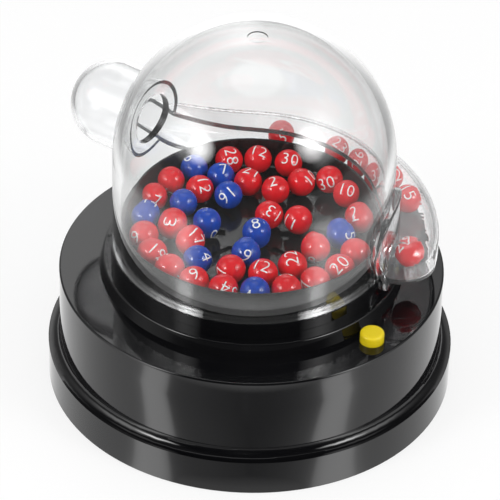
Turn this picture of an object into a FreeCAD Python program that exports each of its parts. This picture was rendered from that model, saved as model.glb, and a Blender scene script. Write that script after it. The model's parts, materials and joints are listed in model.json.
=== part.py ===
# Desktop lottery ball machine: a black round base, a clear dome over a bowl of numbered balls,
# a clear catch pod high on the dome's left rear, and a clear track that brings drawn balls to the front.
# Millimetres, +Z up, -Y to the front, origin on the table under the middle of the base.
import FreeCAD, Part
import math
import os

import Sketcher

V = FreeCAD.Vector
UP = V(0, 0, 1)

# Driving sizes. Levels are from the table, and widths are from the piece inside or beside each one.
SIZES = {
    # housing
    "flange_width": 3.43,
    "flange_level": 11.06,
    "deck_width": 11.87,
    "deck_level": 37.26,
    "shell_wall": 2.0,
    "step_slope": 1.0,
    "step_width": 2.3,
    "step_rise": 3.86,
    "collar_lip": 0.54,
    "collar_rise": 5.23,
    "seat_ledge": 4.46,
    "seat_thickness": 2.0,
    "seat_depth": 2.35,
    "cove_radius": 2.8,
    "edge_round": 0.6,
    "pilot_depth": 10.0,
    "post_hole_depth": 6.0,
    "bowl_screw_inset": 2.3,
    # dome
    "dome_radius": 40.86,
    "dome_wall": 2.4,
    "dome_straight": 29.5,
    "gate_radius": 2.9,
    "gate_depth": 0.38,
    # bowl
    "bowl_clearance": 0.3,
    "bowl_rise": 11.6,
    "bowl_rim_wall": 0.9,
    "bowl_rim_round": 0.35,
    "bowl_taper": 1.7,
    "bowl_floor": 1.7,
    "bowl_ledge_rise": 3.5,
    "bowl_corner_round": 2.5,
    "bowl_hole_depth": 2.6,
    # agitator
    "ledge_width": 2.26,
    "disc_gap": 0.3,
    "disc_proud": 0.25,
    "flute_depth": 0.9,
    "flute_start": 8.0,
    "flute_margin": 2.0,
    "flute_root": 1.2,
    "flute_tip": 4.6,
    "hub_radius": 2.9,
    "shaft_radius": 1.0,
    "shaft_overlap": 1.0,
    # balls
    "ball_radius": 4.25,
    "ball_gap": 0.05,
    "ball_wall_gap": 0.35,
    # catch pod
    "pod_azimuth": 235.0,
    "pod_rise": 26.65,
    "pod_radius": 12.8,
    "pod_reach": 10.04,
    "pod_wall": 1.2,
    "pod_hole_radius": 8.0,
    "pod_neck": 30.47,
    # ball track
    "track_side_room": 3.39,
    "track_drop": 3.15,
    "track_fall": 1.8,
    "track_head_room": 1.5,
    "track_wall": 1.6,
    "track_corner_room": 0.15,
    "track_foot_corner": 3.0,
    "track_end_azimuth": 78.5,
    "track_end_inset": 9.7,
    "drawn_gap": 0.15,
    "last_gap": 1.9,
    "track_root": 4.0,
    "track_collar_gap": 0.3,
    "track_collar_wall": 0.8,
    "lip_thickness": 2.0,
    "lip_reach": 15.0,
    "lip_rise": 11.0,
    "lip_round": 0.7,
    "tail_width": 2.4,
    "tail_root": 4.5,
    "trim_depth": 20.0,
    # push button
    "button_azimuth": 44.9,
    "button_wall_gap": 0.8,
    "button_radius": 3.5,
    "button_round": 0.8,
    "button_proud": 3.1,
    "button_clearance": 0.15,
    "button_lip": 0.8,
    "button_flange": 1.2,
    "button_stem_radius": 1.5,
    "button_travel": 1.5,
    "spring_inset": 0.6,
    "spring_wire_radius": 0.25,
    "stem_gap": 0.05,
    # switch and its board
    "board_drop": 10.06,
    "board_thickness": 1.2,
    "board_offset": 1.9,
    "board_half_length": 12.0,
    "board_inset": 4.6,
    "board_post_gap": 2.3,
    "board_post_radius": 2.2,
    "switch_half_width": 2.25,
    "switch_rise": 3.0,
    "plunger_radius": 1.2,
    "plunger_rise": 0.7,
    # motor
    "motor_radius": 10.05,
    "motor_half_flats": 7.55,
    "motor_length": 25.0,
    "motor_cap_length": 2.6,
    "motor_boss_radius": 3.07,
    "motor_boss": 1.7,
    "motor_pad_margin": 1.95,
    "motor_pad": 2.0,
    "running_fit": 0.05,
    "motor_post_gap": 2.95,
    "motor_post_radius": 3.0,
    "strap_thickness": 1.8,
    "strap_margin": 3.0,
    # bottom cover and battery bay
    "cover_recess": 0.6,
    "cover_thickness": 2.0,
    "cover_clearance": 0.25,
    "boss_inset": 2.97,
    "boss_radius": 3.2,
    "bay_motor_gap": 2.35,
    "contact_reach": 2.75,
    "bay_side_room": 1.15,
    "bay_head_room": 1.2,
    "bay_wall": 1.6,
    "door_thickness": 1.6,
    "door_recess": 0.3,
    "door_clearance": 0.2,
    "hinge_pin_radius": 0.6,
    "hinge_pin_length": 1.0,
    "hinge_fit": 0.05,
    "hinge_barrel_radius": 0.8,
    "finger_notch": 5.0,
    "ledge_depth": 1.2,
    "ledge_length": 3.0,
    # batteries
    "cell_radius": 7.1,
    "cell_half_length": 24.65,
    "cell_nipple_radius": 2.7,
    "cell_half_nipple": 0.6,
    "cell_gap": 0.15,
    "contact_strip": 0.4,
    "contact_half_width": 3.0,
    # screws
    "screw_radius": 1.1,
    "screw_head_radius": 2.3,
    "screw_head": 1.3,
    "small_screw_radius": 0.9,
    "small_head_radius": 1.8,
    "small_head": 1.0,
    "screw_hole_gap": 0.25,
    "cover_screw_length": 9.0,
    "bowl_screw_grip": 2.4,
    "small_screw_grip": 5.0,
}
BOSSES = 4
BOWL_SCREWS = 3
FLUTES = 8
SPRING_TURNS = 5
WIRE_SIDES = 6
FALL_SECTIONS = 8
RAMP_SECTIONS = 6
RAMP_CURVE = 1.8
# The lip's edge from the track's top to the tail's tip, as shares of its reach and of its height.
LIP_EDGE = (
    (-1.35, 0.57), (-1.0, 0.76), (-0.5, 0.94), (0.08, 1.0), (0.6, 0.95), (0.93, 0.79), (0.98, 0.6),
    (0.8, 0.3), (0.6, 0.0),
)

# Where the balls lie, as azimuths from the front towards the right, and rings for the inner ones.
RING_RED = (-166, -128, -110, -78, -62, -46, -30, -14, 18, 34, 51, 67, 97, 118, 134, 161, 178)
RING_BLUE = (-145, -94, 2)
INNER_RED = (
    (20, -175), (22.5, -134), (23.5, -87), (20, -63), (22.5, -15), (23.5, 8),
    (22.5, 31), (21, 60), (13.5, 97), (6, 127), (25, 145), (17.5, 158),
)
INNER_BLUE = (
    (24.5, -156), (15, -150), (22.5, -112), (13.5, -87), (23.5, -41), (14, -7), (5, 14), (26, 81),
)
DRAWN = (170, 146.5, 135, 123.5, 109.3)
LAST_DRAWN = 79

# Sizes that follow from the driving ones, each from the piece that it fits.
FOLLOWING = {
    "collar_radius": "dome_radius + collar_lip",
    "step_radius": "collar_radius + step_width",
    "step_foot_radius": "step_radius + step_slope",
    "drum_radius": "step_foot_radius + deck_width",
    "flange_radius": "drum_radius + flange_width",
    "seat_inner_radius": "dome_radius - dome_wall - seat_ledge",
    "disc_radius": (
        "dome_radius - dome_wall - bowl_clearance - bowl_rim_wall - bowl_taper - ledge_width - disc_gap"
    ),
    "flute_end": "disc_radius - flute_margin",
    "pod_level": "deck_level + step_rise + collar_rise + pod_rise",
    "pod_centre_ring": "dome_radius + pod_reach",
    "pod_neck_start": "pod_centre_ring - pod_neck",
    "track_reach": "dome_radius + ball_radius + ball_radius + track_wall + track_side_room",
    "track_bottom": "deck_level + step_rise + collar_rise - track_drop",
    "track_depth": "ball_radius + ball_radius + track_wall + track_wall + track_head_room",
    "track_corner": "ball_radius + track_wall + track_corner_room",
    "track_end_ring": "track_reach - track_end_inset",
    "drawn_ring": "track_reach - track_wall - ball_radius - drawn_gap",
    "last_ring": "track_reach - track_wall - ball_radius - last_gap",
    "button_flange_radius": "button_radius + button_lip",
    "button_ring": "drum_radius - shell_wall - button_flange_radius - button_wall_gap",
    "spring_mean_radius": "button_flange_radius - spring_inset",
    "board_ring": "button_ring - board_offset",
    "board_post_spread": "button_flange_radius + board_post_radius + board_post_gap",
    "motor_pad_radius": "motor_radius + motor_pad_margin",
    "motor_post_spread": "motor_radius + motor_post_radius + motor_post_gap",
    "strap_half_width": "motor_post_radius + strap_margin",
    "boss_ring": "drum_radius - shell_wall - boss_inset",
    "cell_length": "cell_half_length + cell_half_length",
    "cell_nipple": "cell_half_nipple + cell_half_nipple",
    "bay_half_length": "cell_half_length + cell_half_nipple + contact_reach",
    "bay_half_width": "cell_radius + cell_radius + cell_gap + bay_side_room",
    "bay_depth": (
        "door_recess + door_thickness + cell_radius + cell_radius + cell_gap + cell_gap + bay_head_room"
    ),
    "bay_centre": "motor_half_flats + bay_motor_gap + bay_wall + bay_half_width",
}


def number(text):
    """The value of a sum of size names and numbers, such as "deck_level - shell_wall"."""
    total = 0.0
    sign = 1.0
    for word in text.split():
        if word == "+":
            sign = 1.0
        elif word == "-":
            sign = -1.0
        else:
            total += sign * (SIZES[word] if word in SIZES else float(word))
            sign = 1.0
    return total


for alias, text in FOLLOWING.items():
    SIZES[alias] = round(number(text), 6)

doc = FreeCAD.newDocument("lottery_ball_machine")
sheet = doc.addObject("Spreadsheet::Sheet", "Sizes")
for row, (alias, value) in enumerate(SIZES.items(), start=1):
    sheet.set(f"A{row}", alias)
    sheet.set(f"B{row}", str(value))
    sheet.setAlias(f"B{row}", alias)
doc.recompute()

parts = []


def keep(obj, label):
    """The finished sub-part, under the name that its file takes."""
    obj.Label = label
    parts.append(obj)
    return obj


def formula(text):
    """The same sum as the sheet's expression."""
    return " ".join(f"Sizes.{word}" if word in SIZES else word for word in text.split())


def bind(obj, **sizes):
    for prop, text in sizes.items():
        obj.setExpression(prop.replace("_at_", "."), formula(text))


# Levels that several pieces share.
SEAT = "deck_level + step_rise + collar_rise - seat_depth"
COLLAR_TOP = "deck_level + step_rise + collar_rise"
UNDERSIDE = "deck_level - shell_wall"
BOARD_TOP = "deck_level - shell_wall - board_drop"
COVER_TOP = "cover_recess + cover_thickness"
BOWL_OUTER = "dome_radius - dome_wall - bowl_clearance"
LEDGE = SEAT + " + bowl_ledge_rise"
DISC_TOP = LEDGE + " + disc_proud"
BALL_LEVEL = DISC_TOP + " + ball_gap + ball_radius"
MOTOR_TOP = SEAT + " - motor_pad"
MOTOR_FOOT = MOTOR_TOP + " - motor_length"


# Sketching helpers.
def plane(body, role):
    return next(f for f in body.Origin.OriginFeatures if f.Role == role)


def new_sketch(body, name, role="XY_Plane", level="0", turn=None):
    """A sketch on one of the body's own planes, raised to a level and turned to an azimuth."""
    sketch = body.newObject("Sketcher::SketchObject", name)
    sketch.AttachmentSupport = [(plane(body, role), "")]
    sketch.MapMode = "FlatFace"
    angle = SIZES[turn] - 90.0 if turn in SIZES else float(turn or 0)
    sketch.AttachmentOffset = FreeCAD.Placement(V(0, 0, number(level)), FreeCAD.Rotation(UP, angle))
    if level != "0":
        sketch.setExpression(".AttachmentOffset.Base.z", formula(level))
    return sketch


def pin_point(sketch, geometry, point, x, y):
    """Hold one point of a sketch at named distances from the sketch's origin."""
    for kind, text in (("DistanceX", x), ("DistanceY", y)):
        index = sketch.addConstraint(Sketcher.Constraint(kind, -1, 1, geometry, point, number(text)))
        sketch.setExpression(f"Constraints[{index}]", formula(text))


def outline(sketch, corners):
    """A closed outline. A corner is (x, y), or (x, y, centre x, centre y) where an arc leads to it."""
    spots = [V(number(c[0]), number(c[1]), 0) for c in corners]
    for i, corner in enumerate(corners):
        start, end = spots[i - 1], spots[i]
        if len(corner) == 2:
            sketch.addGeometry(Part.LineSegment(start, end), False)
            continue
        centre = V(number(corner[2]), number(corner[3]), 0)
        radius = (end - centre).Length
        first = math.atan2(start.y - centre.y, start.x - centre.x)
        last = math.atan2(end.y - centre.y, end.x - centre.x)
        low, high = min(first, last), max(first, last)
        sketch.addGeometry(Part.ArcOfCircle(Part.Circle(centre, UP, radius), low, high), False)
    for i, corner in enumerate(corners):
        after = (i + 1) % len(corners)
        end_point = end_of(sketch, i, spots[i])
        start_point = end_of(sketch, after, spots[i])
        sketch.addConstraint(Sketcher.Constraint("Coincident", i, end_point, after, start_point))
        pin_point(sketch, i, end_point, corner[0], corner[1])
        if len(corner) == 4:
            index = sketch.addConstraint(Sketcher.Constraint("DistanceX", -1, 1, i, 3, number(corner[2])))
            sketch.setExpression(f"Constraints[{index}]", formula(corner[2]))


def end_of(sketch, geometry, spot):
    """Which end of a line or arc lies at a spot: 1 for its start, 2 for its end."""
    shape = sketch.Geometry[geometry]
    near = (shape.StartPoint - spot).Length < (shape.EndPoint - spot).Length
    return 1 if near else 2


def ring(sketch, x, y, radius):
    index = sketch.addGeometry(Part.Circle(V(number(x), number(y), 0), UP, number(radius)), False)
    pin_point(sketch, index, 3, x, y)
    hold = sketch.addConstraint(Sketcher.Constraint("Radius", index, number(radius)))
    sketch.setExpression(f"Constraints[{hold}]", formula(radius))


def revolve(body, name, corners):
    """The body's outline in radius and height, turned about the upright axis."""
    sketch = new_sketch(body, name + "_profile", "XZ_Plane")
    outline(sketch, corners)
    feature = body.newObject("PartDesign::Revolution", name)
    feature.Profile = sketch
    feature.ReferenceAxis = (sketch, ["V_Axis"])
    feature.Angle = 360.0
    doc.recompute()
    return feature


def pad(body, name, sketch, length, down=False):
    feature = body.newObject("PartDesign::Pad", name)
    feature.Profile = sketch
    feature.Length = number(length)
    feature.setExpression("Length", formula(length))
    feature.Reversed = down
    doc.recompute()
    return feature


def pocket(body, name, sketch, length, up=False):
    """A cut below the sketch, or above it. It has to remove something."""
    before = body.Tip.Shape.Volume
    feature = body.newObject("PartDesign::Pocket", name)
    feature.Profile = sketch
    feature.Length = number(length)
    feature.setExpression("Length", formula(length))
    feature.Reversed = up
    doc.recompute()
    if feature.Shape.Volume > before - 1e-6:
        raise RuntimeError(f"{name} cuts nothing")
    return feature


def around(body, name, originals, count):
    pattern = body.newObject("PartDesign::PolarPattern", name)
    pattern.Originals = originals
    pattern.Axis = (originals[0].Profile[0], ["N_Axis"])
    pattern.Angle = 360.0
    pattern.Occurrences = count
    body.Tip = pattern
    doc.recompute()
    return pattern


def round_rings(body, name, spots, radius):
    """A fillet on the round edges that lie at the given radii and levels."""
    wanted = [(number(r), number(z)) for r, z in spots]
    edges = []
    for i, edge in enumerate(body.Tip.Shape.Edges, start=1):
        curve = edge.Curve
        if not isinstance(curve, Part.Circle):
            continue
        for r, z in wanted:
            if abs(curve.Radius - r) < 1e-3 and abs(curve.Center.z - z) < 1e-3:
                edges.append(f"Edge{i}")
    feature = body.newObject("PartDesign::Fillet", name)
    feature.Base = (body.Tip if body.Tip != feature else feature.BaseFeature, edges)
    feature.Radius = number(radius)
    feature.setExpression("Radius", formula(radius))
    doc.recompute()
    return feature


# Solid helpers.
def spot(ring_radius, azimuth, level):
    """A point at a ring radius, an azimuth from the front towards the right, and a level."""
    angle = math.radians(azimuth)
    return V(ring_radius * math.sin(angle), -ring_radius * math.cos(angle), level)


def cylinder(name, radius, height, place=None, **base):
    obj = doc.addObject("Part::Cylinder", name)
    bind(obj, Radius=radius, Height=height)
    if place:
        obj.Placement = place
    return lift(obj, **base)


def box(name, length, width, height, x, y, z):
    obj = doc.addObject("Part::Box", name)
    bind(obj, Length=length, Width=width, Height=height)
    return lift(obj, x=x, y=y, z=z)


def lift(obj, x="0", y="0", z="0"):
    for axis, text in (("x", x), ("y", y), ("z", z)):
        if text != "0":
            obj.setExpression(f".Placement.Base.{axis}", formula(text))
    return obj


def fuse(name, shapes):
    obj = doc.addObject("Part::MultiFuse", name)
    obj.Shapes = shapes
    return obj


def cut(name, base, tool):
    obj = doc.addObject("Part::Cut", name)
    obj.Base = base
    obj.Tool = tool
    return obj


def group(name, members):
    obj = doc.addObject("Part::Compound", name)
    obj.Links = members
    return obj


def copy_at(name, source, places):
    """The same piece at several places, as one group of separate solids."""
    doc.recompute()
    copies = []
    for i, place in enumerate(places):
        link = doc.addObject("Part::Feature", f"{name}_{i + 1}")
        link.Shape = source.Shape.copy()
        link.Placement = place.multiply(source.Placement)
        copies.append(link)
    return group(name, copies)


def placement(base, azimuth=0.0, axis=UP):
    return FreeCAD.Placement(base, FreeCAD.Rotation(axis, azimuth))


def screw(name, radius, length, head_radius, head):
    """A pan-head screw that stands on its head, point up, with its cross slot underneath."""
    shank = cylinder(name + "_shank", radius, length, z=head)
    cap = cylinder(name + "_cap", head_radius, head)
    slot_a = doc.addObject("Part::Box", name + "_slot_a")
    slot_b = doc.addObject("Part::Box", name + "_slot_b")
    reach = 0.6 * number(head_radius)
    thin = 0.12 * number(head_radius)
    for slot, long, wide in ((slot_a, reach, thin), (slot_b, thin, reach)):
        slot.Length = 2 * long
        slot.Width = 2 * wide
        slot.Height = 0.5 * number(head)
        slot.Placement.Base = V(-long, -wide, 0)
    return cut(name, fuse(name + "_solid", [shank, cap]), fuse(name + "_slot", [slot_a, slot_b]))


# Base housing: one revolved shell with a flange, a drum, a flat deck, a stepped collar and the bowl's seat.
housing = doc.addObject("PartDesign::Body", "base_housing_body")
BORE = BOWL_OUTER + " + bowl_clearance"
revolve(housing, "housing_shell", [
    ("flange_radius", "0"),
    ("flange_radius", "flange_level"),
    ("drum_radius", "flange_level"),
    ("drum_radius", "deck_level"),
    ("step_foot_radius", "deck_level"),
    ("step_radius", "deck_level + step_rise"),
    ("collar_radius", "deck_level + step_rise"),
    ("collar_radius", COLLAR_TOP),
    (BORE, COLLAR_TOP),
    (BORE, SEAT),
    ("seat_inner_radius", SEAT),
    ("seat_inner_radius", SEAT + " - seat_thickness"),
    (BORE, SEAT + " - seat_thickness"),
    (BORE, UNDERSIDE),
    ("drum_radius - shell_wall", UNDERSIDE),
    ("drum_radius - shell_wall", "flange_level - shell_wall"),
    ("flange_radius - shell_wall", "flange_level - shell_wall"),
    ("flange_radius - shell_wall", "0"),
])
round_rings(housing, "flange_cove", [("drum_radius", "flange_level")], "cove_radius")
round_rings(housing, "outer_edges", [
    ("drum_radius", "deck_level"),
    ("step_radius", "deck_level + step_rise"),
], "edge_round")
# Four screw bosses from the deck's underside to the bottom cover.
boss_sketch = new_sketch(housing, "boss_sketch", level=COVER_TOP)
ring(boss_sketch, "0", "0 - boss_ring", "boss_radius")
boss = pad(housing, "boss", boss_sketch, UNDERSIDE + " - cover_recess - cover_thickness")
pilot_sketch = new_sketch(housing, "pilot_sketch", level=COVER_TOP)
ring(pilot_sketch, "0", "0 - boss_ring", "screw_radius")
pilot = pocket(housing, "pilot", pilot_sketch, "pilot_depth", up=True)
around(housing, "bosses", [boss, pilot], BOSSES)
# Two posts that carry the switch board, each with its screw hole.
post_sketch = new_sketch(housing, "post_sketch", level=BOARD_TOP, turn="button_azimuth")
for side in ("", "0 - "):
    ring(post_sketch, "board_ring", side + "board_post_spread", "board_post_radius")
pad(housing, "board_posts", post_sketch, "board_drop")
post_hole_sketch = new_sketch(housing, "post_hole_sketch", level=BOARD_TOP, turn="button_azimuth")
for side in ("", "0 - "):
    ring(post_hole_sketch, "board_ring", side + "board_post_spread", "small_screw_radius")
pocket(housing, "post_holes", post_hole_sketch, "post_hole_depth", up=True)
# The button's hole through the deck, and the holes for the bowl's screws through its seat.
button_hole = new_sketch(housing, "button_hole_sketch", level="deck_level", turn="button_azimuth")
ring(button_hole, "button_ring", "0", "button_radius + button_clearance")
pocket(housing, "button_hole", button_hole, "shell_wall")
seat_hole_sketch = new_sketch(housing, "seat_hole_sketch", level=SEAT)
ring(seat_hole_sketch, "0", "0 - seat_inner_radius - bowl_screw_inset", "small_screw_radius + screw_hole_gap")
seat_hole = pocket(housing, "seat_hole", seat_hole_sketch, "seat_thickness")
around(housing, "seat_holes", [seat_hole], BOWL_SCREWS)
keep(housing, "base_housing")

# Mixing bowl: a tapered dish on the collar's seat, with a pad and two posts for the motor below.
bowl = doc.addObject("PartDesign::Body", "mixing_bowl_body")
BOWL_BORE = "motor_boss_radius + running_fit"
BOWL_RIM = SEAT + " + bowl_rise"
RIM_INNER = BOWL_OUTER + " - bowl_rim_wall"
revolve(bowl, "bowl_shell", [
    (BOWL_BORE, MOTOR_TOP),
    ("motor_pad_radius", MOTOR_TOP),
    ("motor_pad_radius", SEAT),
    (BOWL_OUTER, SEAT),
    (BOWL_OUTER, BOWL_RIM),
    (RIM_INNER, BOWL_RIM),
    (RIM_INNER + " - bowl_taper", LEDGE),
    ("disc_radius + disc_gap", LEDGE),
    ("disc_radius + disc_gap", SEAT + " + bowl_floor"),
    (BOWL_BORE, SEAT + " + bowl_floor"),
])
round_rings(bowl, "bowl_corner", [(RIM_INNER + " - bowl_taper", LEDGE)], "bowl_corner_round")
round_rings(bowl, "bowl_rim_edges", [(BOWL_OUTER, BOWL_RIM), (RIM_INNER, BOWL_RIM)], "bowl_rim_round")
motor_post_sketch = new_sketch(bowl, "motor_post_sketch", level=SEAT)
for side in ("", "0 - "):
    ring(motor_post_sketch, side + "motor_post_spread", "0", "motor_post_radius")
pad(bowl, "motor_posts", motor_post_sketch, "motor_pad + motor_length", down=True)
motor_hole_sketch = new_sketch(bowl, "motor_hole_sketch", level=MOTOR_FOOT)
for side in ("", "0 - "):
    ring(motor_hole_sketch, side + "motor_post_spread", "0", "small_screw_radius")
pocket(bowl, "motor_post_holes", motor_hole_sketch, "post_hole_depth", up=True)
bowl_hole_sketch = new_sketch(bowl, "bowl_hole_sketch", level=SEAT)
ring(bowl_hole_sketch, "0", "0 - seat_inner_radius - bowl_screw_inset", "small_screw_radius")
bowl_hole = pocket(bowl, "bowl_hole", bowl_hole_sketch, "bowl_hole_depth", up=True)
around(bowl, "bowl_holes", [bowl_hole], BOWL_SCREWS)
keep(bowl, "mixing_bowl")

# Agitator: a flat fluted disc, flush with the bowl's ledge, whose hub is pressed on the motor shaft.
agitator = doc.addObject("PartDesign::Body", "agitator_disc_body")
DISC_FOOT = SEAT + " + bowl_floor + disc_gap"
revolve(agitator, "disc", [
    ("shaft_radius", SEAT),
    ("hub_radius", SEAT),
    ("hub_radius", DISC_FOOT),
    ("disc_radius", DISC_FOOT),
    ("disc_radius", DISC_TOP),
    ("shaft_radius", DISC_TOP),
])
flute_sketch = new_sketch(agitator, "flute_sketch", level=DISC_TOP)
outline(flute_sketch, [
    ("flute_start", "0 - flute_root"),
    ("flute_end", "0 - flute_tip"),
    ("flute_end", "flute_tip"),
    ("flute_start", "flute_root"),
])
flute = pocket(agitator, "flute", flute_sketch, "flute_depth")
around(agitator, "flutes", [flute], FLUTES)
keep(agitator, "agitator_disc")

# Dome: a clear bell that stands on the collar round the bowl, with the catch hole and a moulding gate mark.
dome = doc.addObject("PartDesign::Body", "dome_shell_body")
DOME_CENTRE = COLLAR_TOP + " + dome_straight"
revolve(dome, "bell", [
    ("dome_radius", COLLAR_TOP),
    ("dome_radius", DOME_CENTRE),
    ("0", DOME_CENTRE + " + dome_radius", "0", DOME_CENTRE),
    ("0", DOME_CENTRE + " + dome_radius - dome_wall"),
    ("dome_radius - dome_wall", DOME_CENTRE, "0", DOME_CENTRE),
    ("dome_radius - dome_wall", COLLAR_TOP),
])
gate_sketch = new_sketch(dome, "gate_sketch", level=DOME_CENTRE + " + dome_radius")
ring(gate_sketch, "0", "0", "gate_radius")
pocket(dome, "gate", gate_sketch, "gate_depth")
doc.recompute()
pod_turn = FreeCAD.Rotation(UP, SIZES["pod_azimuth"] - 90.0).multiply(FreeCAD.Rotation(V(0, 1, 0), 90))
pod_place = FreeCAD.Placement(V(0, 0, SIZES["pod_level"]), pod_turn)
catch_hole = cylinder("catch_hole", "pod_hole_radius", "dome_radius + dome_wall", pod_place)
dome_shell = cut("dome_shell_cut", dome, catch_hole)
keep(dome_shell, "dome_shell")


# Catch pod and track, in shapes of their own: a swept half tube that winds down and round the dome.
def bell_solid(radius):
    """The dome's own outer form, for trimming what is bonded to its outside."""
    centre = number(DOME_CENTRE)
    foot = SIZES["track_bottom"] - SIZES["trim_depth"]
    barrel = Part.makeCylinder(radius, centre - foot, V(0, 0, foot))
    return barrel.fuse(Part.makeSphere(radius, V(0, 0, centre))).removeSplitter()


def pod_solid(shrink):
    """A round-ended bulb along a level radius of the dome."""
    radius = SIZES["pod_radius"] - shrink
    ring_radius = SIZES["pod_centre_ring"]
    centre = spot(ring_radius, SIZES["pod_azimuth"], SIZES["pod_level"])
    outward = spot(1.0, SIZES["pod_azimuth"], 0.0)
    axis_start = V(0, 0, SIZES["pod_level"]) + outward * SIZES["pod_neck_start"]
    neck = Part.makeCylinder(radius, ring_radius - SIZES["pod_neck_start"], axis_start, outward)
    return neck.fuse(Part.makeSphere(radius, centre)).removeSplitter()


def track_edges(inner, outer, low, high, shrink):
    """The half tube's section in radius and height, flat towards the dome and round outside."""
    corner = SIZES["track_corner"] - shrink
    heel = SIZES["track_foot_corner"] - shrink
    bulge = corner * (1 - math.sin(math.pi / 4))
    heel_bulge = heel * (1 - math.sin(math.pi / 4))
    top = Part.Arc(
        V(outer - corner, 0, high),
        V(outer - bulge, 0, high - bulge),
        V(outer, 0, high - corner),
    )
    foot = Part.Arc(
        V(outer, 0, low + heel),
        V(outer - heel_bulge, 0, low + heel_bulge),
        V(outer - heel, 0, low),
    )
    return Part.Wire([
        Part.makeLine(V(inner, 0, low), V(inner, 0, high)),
        Part.makeLine(V(inner, 0, high), V(outer - corner, 0, high)),
        top.toShape(),
        Part.makeLine(V(outer, 0, high - corner), V(outer, 0, low + heel)),
        foot.toShape(),
        Part.makeLine(V(outer - heel, 0, low), V(inner, 0, low)),
    ])


def track_solid(shrink):
    """The stretch that falls gently to the front, its round closed end, and the climb to the pod."""
    low = SIZES["track_bottom"] + shrink
    high = SIZES["track_bottom"] + SIZES["track_depth"] - shrink
    outer = SIZES["track_reach"] - shrink
    inner = SIZES["dome_radius"] - SIZES["track_root"]
    end = SIZES["track_end_azimuth"]
    end_ring = SIZES["track_end_ring"]
    cap = Part.Face(track_edges(0.0, outer - end_ring, low, high, shrink))
    cap = cap.revolve(V(0, 0, 0), UP, -180.0)
    cap.rotate(V(0, 0, 0), UP, end - 90.0)
    cap.translate(spot(end_ring, end, 0.0))
    fall = SIZES["track_fall"]
    climb = SIZES["pod_level"] - 0.5 * (low + high) - fall
    turn = SIZES["pod_azimuth"] - 180.0
    stations = []
    for i in range(FALL_SECTIONS):
        share = i / (FALL_SECTIONS - 1)
        stations.append((end + (180.0 - end) * share, fall * share))
    for i in range(1, RAMP_SECTIONS):
        share = i / (RAMP_SECTIONS - 1)
        stations.append((180.0 + turn * share, fall + climb * share**RAMP_CURVE))
    wires = []
    for azimuth, rise in stations:
        wire = track_edges(inner, outer, low, high, shrink)
        wire.translate(V(0, 0, rise))
        wire.rotate(V(0, 0, 0), UP, azimuth - 90.0)
        wires.append(wire)
    return cap.fuse(Part.makeLoft(wires, True, False))


def lip_solid():
    """The leaf-shaped lip round the track's closed end, bent to the dome, with a tail past the collar."""
    foot = number("deck_level + step_rise + track_collar_gap")
    height = number("track_bottom + track_depth + lip_rise") - foot
    edge = [V(-SIZES["lip_reach"] * x, 0, foot + height * z) for x, z in LIP_EDGE]
    curve = Part.BSplineCurve()
    curve.interpolate(edge)
    middle = SIZES["track_bottom"] + 0.5 * SIZES["track_depth"]
    corners = [
        edge[-1],
        edge[-1] + V(SIZES["tail_width"], 0, 0),
        V(-SIZES["tail_root"], 0, SIZES["track_bottom"] + 0.5 * SIZES["track_wall"]),
        V(edge[0].x, 0, middle),
        edge[0],
    ]
    lines = [Part.makeLine(a, b) for a, b in zip(corners, corners[1:])]
    plate = Part.Face(Part.Wire([curve.toShape()] + lines)).extrude(V(0, -2 * SIZES["dome_radius"], 0))
    plate.rotate(V(0, 0, 0), UP, SIZES["track_end_azimuth"])
    reach = SIZES["dome_radius"] + SIZES["lip_thickness"]
    lip = plate.common(Part.makeCylinder(reach, 2 * (foot + height)))
    rims = [e for e in lip.Edges if all(abs(math.hypot(v.X, v.Y) - reach) < 0.001 for v in e.Vertexes)]
    return lip.makeFillet(SIZES["lip_round"], [max(rims, key=lambda rim: rim.Length)])


def collar_step(gap):
    """The collar's own form, grown by a gap, that the track's foot steps over."""
    foot = SIZES["track_bottom"] - SIZES["trim_depth"]
    return Part.makeCylinder(number("collar_radius") + gap, number(COLLAR_TOP) + gap - foot, V(0, 0, foot))


bell = bell_solid(SIZES["dome_radius"])
pod_outside = pod_solid(0.0)
pod_inside = pod_solid(SIZES["pod_wall"])
track_outside = track_solid(0.0)
track_inside = track_solid(SIZES["track_wall"])
track_inside = track_inside.cut(collar_step(number("track_collar_gap + track_collar_wall")))
collar_room = collar_step(SIZES["track_collar_gap"])


def trimmed(solid, tools):
    """A solid less each tool in turn. Each cut has to remove something."""
    for tool in tools:
        before = solid.Volume
        solid = solid.cut(tool)
        if solid.Volume > before - 1.0:
            raise RuntimeError("a trim of the clear parts cuts nothing")
    return solid


catch_pod = doc.addObject("Part::Feature", "catch_pod_shape")
catch_pod.Shape = trimmed(pod_outside, [bell, pod_inside, track_inside])
keep(catch_pod, "catch_pod")

ball_track = doc.addObject("Part::Feature", "ball_track_shape")
ball_track.Shape = trimmed(track_outside.fuse(lip_solid()), [bell, track_inside, pod_outside, collar_room])
keep(ball_track, "ball_track")


# Balls: one layer in the bowl, and a few in the track.
def ball(name, ring_radius, azimuth, level):
    sphere = doc.addObject("Part::Sphere", name)
    bind(sphere, Radius="ball_radius")
    sphere.Placement.Base = spot(ring_radius, azimuth, level)
    return sphere


laid = []


def settled(places, level):
    """The places that keep a ball's width from those already taken."""
    free = []
    for ring_radius, azimuth in places:
        centre = spot(ring_radius, azimuth, level)
        if all((centre - other).Length > 2 * SIZES["ball_radius"] for other in laid):
            laid.append(centre)
            free.append((ring_radius, azimuth))
    return free


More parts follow.
